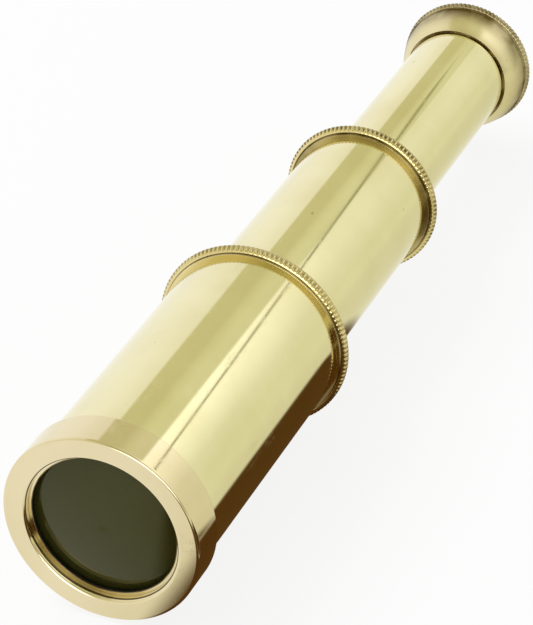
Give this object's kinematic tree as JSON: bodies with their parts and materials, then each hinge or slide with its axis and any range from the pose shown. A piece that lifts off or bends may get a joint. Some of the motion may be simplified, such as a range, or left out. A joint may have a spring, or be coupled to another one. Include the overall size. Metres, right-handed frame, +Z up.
{
  "type": "spyglass",
  "caption": "Brass pocket spyglass, drawn out: plain bezel, barrel, sliding draws with knurled collars and a domed eyecup with a knurled rim.",
  "frame": {"origin": "on the optical axis, halfway along the bare barrel between the bezel and the main collar", "axes": "+Y along the optical axis from the objective to the eye, +Z up as the spyglass lies, +X to the right seen from the objective"},
  "size_m": [0.0308, 0.1512, 0.0308],
  "materials": {
    "tube_brass": "polished, faint lengthwise wear lines from sliding",
    "bezel_brass": "polished, turned",
    "collar_brass": "turned and knurled, tarnish in the grooves",
    "eyecup_brass": "hand-worn, lightly mottled",
    "inner_brass": "plain turned",
    "blackened_brass": "matt black",
    "crown_glass": "polished, clear",
    "flint_glass": "polished, clear"
  },
  "bodies": {
    "barrel": {"objective_bezel": "bezel_brass", "objective_cell": "bezel_brass", "crown_lens": "crown_glass", "flint_lens": "flint_glass", "lens_retaining_ring": "blackened_brass", "main_tube": "tube_brass", "main_collar": "collar_brass", "main_spring_sleeve": "inner_brass"},
    "mid_draw": {"mid_stop_ring": "inner_brass", "mid_tube": "tube_brass", "mid_collar": "collar_brass", "mid_spring_sleeve": "inner_brass"},
    "eye_draw": {"eye_stop_ring": "inner_brass", "eye_tube": "tube_brass", "erector_tube": "inner_brass", "erector_front_cell": "blackened_brass", "erector_front_lens": "crown_glass", "erector_stop": "blackened_brass", "erector_rear_cell": "blackened_brass", "erector_rear_lens": "crown_glass", "eyepiece_tube": "inner_brass", "field_cell": "blackened_brass", "field_lens": "crown_glass", "field_stop": "blackened_brass", "eye_cell": "blackened_brass", "eye_lens": "crown_glass", "eyecup": "eyecup_brass"}
  },
  "joints": [
    {"name": "mid_slide", "type": "slide", "parent": "barrel", "child": "mid_draw", "axis": [0, -1, 0], "range_m": [0, 0.0425]},
    {"name": "eye_slide", "type": "slide", "parent": "mid_draw", "child": "eye_draw", "axis": [0, -1, 0], "range_m": [0, 0.044]}
  ]
}
